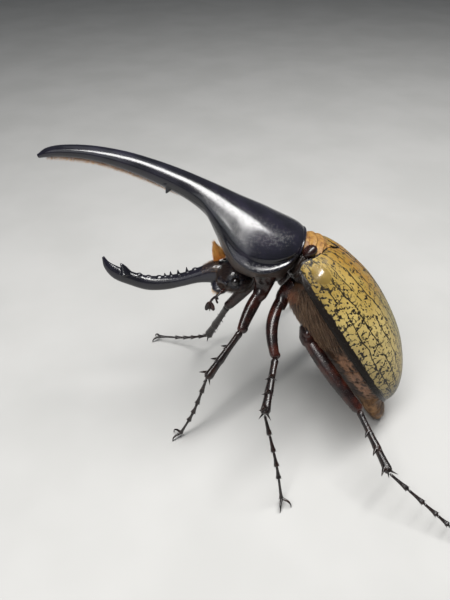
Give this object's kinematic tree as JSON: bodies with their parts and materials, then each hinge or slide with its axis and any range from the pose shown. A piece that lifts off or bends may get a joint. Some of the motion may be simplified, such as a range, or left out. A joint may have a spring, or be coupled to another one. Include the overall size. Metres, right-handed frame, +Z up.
{
  "type": "adult male hercules beetle",
  "caption": "Adult male horned beetle reared up on its hind end, with a long upper horn over a shorter toothed lower horn, mottled wing cases and slender spiny legs.",
  "frame": {"origin": "middle of the footprint of the bounding box, on the floor that the claws and the tip of the abdomen rest on", "axes": "-X is the way the head and the horns point, -Y is the beetle's left side, +Z is up"},
  "size_m": [0.133, 0.1206, 0.0918],
  "materials": {
    "black_shell": "glossy black cuticle with a faint blue-violet sheen",
    "olive_wing_case": "olive-yellow cuticle with fine black lines and spots, satin",
    "brown_belly": "dark brown, finely haired cuticle",
    "red_brown_limb": "dark red-brown cuticle, glossy",
    "dark_claw": "near-black cuticle, glossy",
    "neck_skin": "orange-tan folded skin with golden-orange bristles",
    "eye": "black, finely faceted, glossy"
  },
  "bodies": {
    "root": {"abdomen": "brown_belly", "antenna_left": "red_brown_limb", "antenna_right": "red_brown_limb", "elytron_left": "olive_wing_case", "elytron_right": "olive_wing_case", "eye_left": "eye", "eye_right": "eye", "head": "black_shell", "horn_cephalic": "black_shell", "horn_thoracic": "black_shell", "horn_thoracic_tip": "black_shell", "leg_front_left_coxa": "red_brown_limb", "leg_front_left_femur": "red_brown_limb", "leg_front_left_tarsus": "dark_claw", "leg_front_left_tibia": "dark_claw", "leg_front_right_coxa": "red_brown_limb", "leg_front_right_femur": "red_brown_limb", "leg_front_right_tarsus": "dark_claw", "leg_front_right_tibia": "dark_claw", "leg_hind_left_coxa": "red_brown_limb", "leg_hind_left_femur": "red_brown_limb", "leg_hind_left_tarsus": "dark_claw", "leg_hind_left_tibia": "dark_claw", "leg_hind_right_coxa": "red_brown_limb", "leg_hind_right_femur": "red_brown_limb", "leg_hind_right_tarsus": "dark_claw", "leg_hind_right_tibia": "dark_claw", "leg_mid_left_coxa": "red_brown_limb", "leg_mid_left_femur": "red_brown_limb", "leg_mid_left_tarsus": "dark_claw", "leg_mid_left_tibia": "dark_claw", "leg_mid_right_coxa": "red_brown_limb", "leg_mid_right_femur": "red_brown_limb", "leg_mid_right_tarsus": "dark_claw", "leg_mid_right_tibia": "dark_claw", "mouthparts": "red_brown_limb", "neck": "neck_skin", "pronotum": "black_shell", "pterothorax": "brown_belly", "scutellum": "black_shell"}
  },
  "joints": []
}
